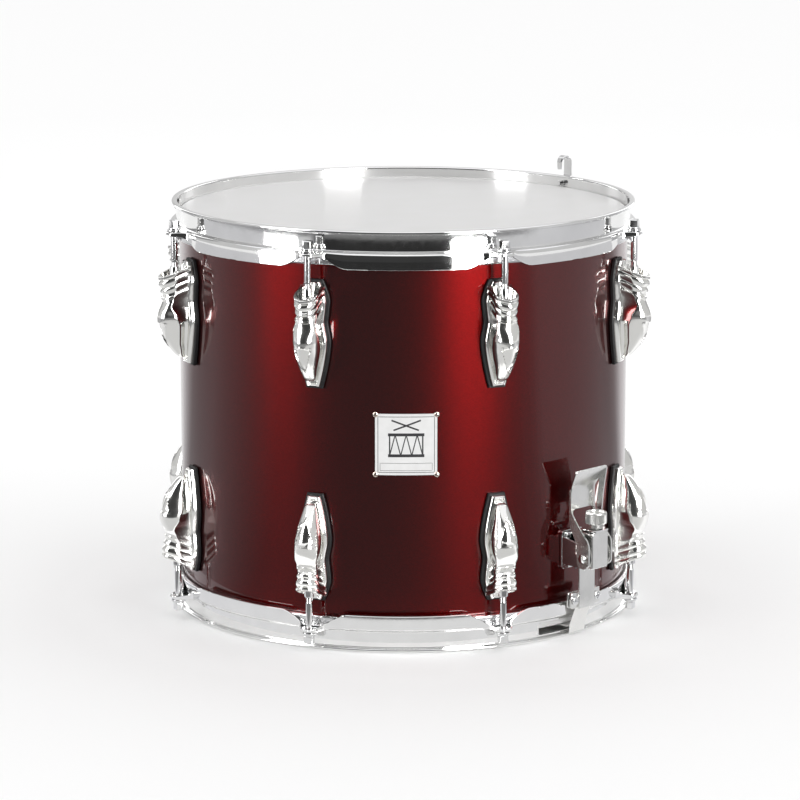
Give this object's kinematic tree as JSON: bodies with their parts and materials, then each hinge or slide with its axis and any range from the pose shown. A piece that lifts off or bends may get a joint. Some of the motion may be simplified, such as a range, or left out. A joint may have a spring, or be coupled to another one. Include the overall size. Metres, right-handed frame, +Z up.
{
  "type": "marching drum",
  "caption": "Lacquered two-headed drum with pressed hoops, tension rods in vase-shaped lugs, a throw-off snare strainer, butt end and sling hook.",
  "frame": {"origin": "on the drum axis, in the plane of the lower hoop lip that the drum stands on", "axes": "+Z up along the drum axis, -Y out through the middle of the badge"},
  "size_m": [0.3802, 0.3802, 0.3385],
  "materials": {
    "lacquer": "wine red metallic lacquer under clear gloss on laminated wood",
    "head_film": "smooth white polyester film",
    "aluminium": "bright rolled channel",
    "chrome": "polished chrome plate on pressed steel",
    "lug_chrome": "polished chrome plate on a zinc casting",
    "steel": "bright zinc and nickel plate",
    "badge": "white enamel with printed line work",
    "ribbon": "satin white ribbon",
    "snare_wire": "coiled wire and soldered end plates"
  },
  "bodies": {
    "drum": {"shell": "lacquer", "batter_head_film": "head_film", "snare_head_film": "head_film", "batter_flesh_hoop": "aluminium", "snare_flesh_hoop": "aluminium", "batter_counter_hoop": "chrome", "snare_counter_hoop": "chrome", "vent_grommet": "chrome", "strainer_base": "chrome", "butt_bracket": "chrome", "butt_clamp_bar": "chrome", "batter_lug_1": "lug_chrome", "batter_lug_2": "lug_chrome", "batter_lug_3": "lug_chrome", "batter_lug_4": "lug_chrome", "batter_lug_5": "lug_chrome", "batter_lug_6": "lug_chrome", "batter_lug_7": "lug_chrome", "batter_lug_8": "lug_chrome", "snare_lug_1": "lug_chrome", "snare_lug_2": "lug_chrome", "snare_lug_3": "lug_chrome", "snare_lug_4": "lug_chrome", "snare_lug_5": "lug_chrome", "snare_lug_6": "lug_chrome", "snare_lug_7": "lug_chrome", "snare_lug_8": "lug_chrome", "sling_hook": "steel", "sling_hook_screw": "steel", "sling_hook_nut": "steel", "butt_clamp_screw_left": "steel", "butt_clamp_screw_right": "steel", "badge_plate": "badge"},
    "batter_rod_1": {"batter_tension_rod_1": "steel"},
    "batter_rod_2": {"batter_tension_rod_2": "steel"},
    "batter_rod_3": {"batter_tension_rod_3": "steel"},
    "batter_rod_4": {"batter_tension_rod_4": "steel"},
    "batter_rod_5": {"batter_tension_rod_5": "steel"},
    "batter_rod_6": {"batter_tension_rod_6": "steel"},
    "batter_rod_7": {"batter_tension_rod_7": "steel"},
    "batter_rod_8": {"batter_tension_rod_8": "steel"},
    "snare_rod_1": {"snare_tension_rod_1": "steel"},
    "snare_rod_2": {"snare_tension_rod_2": "steel"},
    "snare_rod_3": {"snare_tension_rod_3": "steel"},
    "snare_rod_4": {"snare_tension_rod_4": "steel"},
    "snare_rod_5": {"snare_tension_rod_5": "steel"},
    "snare_rod_6": {"snare_tension_rod_6": "steel"},
    "snare_rod_7": {"snare_tension_rod_7": "steel"},
    "snare_rod_8": {"snare_tension_rod_8": "steel"},
    "throw_off": {"throw_off_lever": "chrome"},
    "carriage": {"strainer_carriage": "chrome"},
    "thumb_screw": {"snare_thumb_screw": "chrome"},
    "snare_set": {"snare_slider": "chrome", "ribbon_clamp_plate": "chrome", "ribbon_clamp_screw_left": "steel", "ribbon_clamp_screw_right": "steel", "snare_ribbon_front": "ribbon", "snare_wires": "snare_wire", "snare_ribbon_rear": "ribbon"}
  },
  "joints": [
    {"name": "batter_rod_1_turn", "type": "hinge", "parent": "drum", "child": "batter_rod_1", "pos_m": [0.07317, -0.17665, 0.2808], "axis": [0, 0, 1], "range_deg": [-720, 360]},
    {"name": "batter_rod_2_turn", "type": "hinge", "parent": "drum", "child": "batter_rod_2", "pos_m": [0.17665, -0.07317, 0.2808], "axis": [0, 0, 1], "range_deg": [-720, 360]},
    {"name": "batter_rod_3_turn", "type": "hinge", "parent": "drum", "child": "batter_rod_3", "pos_m": [0.17665, 0.07317, 0.2808], "axis": [0, 0, 1], "range_deg": [-720, 360]},
    {"name": "batter_rod_4_turn", "type": "hinge", "parent": "drum", "child": "batter_rod_4", "pos_m": [0.07317, 0.17665, 0.2808], "axis": [0, 0, 1], "range_deg": [-720, 360]},
    {"name": "batter_rod_5_turn", "type": "hinge", "parent": "drum", "child": "batter_rod_5", "pos_m": [-0.07317, 0.17665, 0.2808], "axis": [0, 0, 1], "range_deg": [-720, 360]},
    {"name": "batter_rod_6_turn", "type": "hinge", "parent": "drum", "child": "batter_rod_6", "pos_m": [-0.17665, 0.07317, 0.2808], "axis": [0, 0, 1], "range_deg": [-720, 360]},
    {"name": "batter_rod_7_turn", "type": "hinge", "parent": "drum", "child": "batter_rod_7", "pos_m": [-0.17665, -0.07317, 0.2808], "axis": [0, 0, 1], "range_deg": [-720, 360]},
    {"name": "batter_rod_8_turn", "type": "hinge", "parent": "drum", "child": "batter_rod_8", "pos_m": [-0.07317, -0.17665, 0.2808], "axis": [0, 0, 1], "range_deg": [-720, 360]},
    {"name": "snare_rod_1_turn", "type": "hinge", "parent": "drum", "child": "snare_rod_1", "pos_m": [0.07317, -0.17665, 0.0408], "axis": [0, 0, 1], "range_deg": [-720, 360]},
    {"name": "snare_rod_2_turn", "type": "hinge", "parent": "drum", "child": "snare_rod_2", "pos_m": [0.17665, -0.07317, 0.0408], "axis": [0, 0, 1], "range_deg": [-720, 360]},
    {"name": "snare_rod_3_turn", "type": "hinge", "parent": "drum", "child": "snare_rod_3", "pos_m": [0.17665, 0.07317, 0.0408], "axis": [0, 0, 1], "range_deg": [-720, 360]},
    {"name": "snare_rod_4_turn", "type": "hinge", "parent": "drum", "child": "snare_rod_4", "pos_m": [0.07317, 0.17665, 0.0408], "axis": [0, 0, 1], "range_deg": [-720, 360]},
    {"name": "snare_rod_5_turn", "type": "hinge", "parent": "drum", "child": "snare_rod_5", "pos_m": [-0.07317, 0.17665, 0.0408], "axis": [0, 0, 1], "range_deg": [-720, 360]},
    {"name": "snare_rod_6_turn", "type": "hinge", "parent": "drum", "child": "snare_rod_6", "pos_m": [-0.17665, 0.07317, 0.0408], "axis": [0, 0, 1], "range_deg": [-720, 360]},
    {"name": "snare_rod_7_turn", "type": "hinge", "parent": "drum", "child": "snare_rod_7", "pos_m": [-0.17665, -0.07317, 0.0408], "axis": [0, 0, 1], "range_deg": [-720, 360]},
    {"name": "snare_rod_8_turn", "type": "hinge", "parent": "drum", "child": "snare_rod_8", "pos_m": [-0.07317, -0.17665, 0.0408], "axis": [0, 0, 1], "range_deg": [-720, 360]},
    {"name": "throw_off_swing", "type": "hinge", "parent": "drum", "child": "throw_off", "pos_m": [0.14387, -0.13893, 0.0648], "axis": [0.6947, 0.7193, 0], "range_deg": [0, 95]},
    {"name": "carriage_drop", "type": "slide", "parent": "drum", "child": "carriage", "axis": [0, 0, 1], "range_m": [-0.00151, 0]},
    {"name": "thumb_screw_turn", "type": "hinge", "parent": "carriage", "child": "thumb_screw", "pos_m": [0.14516, -0.14018, 0.0948], "axis": [0, 0, 1], "range_deg": [-455, 0]},
    {"name": "snare_set_drop", "type": "slide", "parent": "carriage", "child": "snare_set", "axis": [0, 0, 1], "range_m": [-0.001, 0]}
  ],
  "couplings": [
    {"joint": "carriage_drop", "follows": "throw_off_swing", "m_per_rad": -0.00090467},
    {"joint": "thumb_screw_turn", "follows": "snare_set_drop", "rad_per_m": 7854}
  ]
}
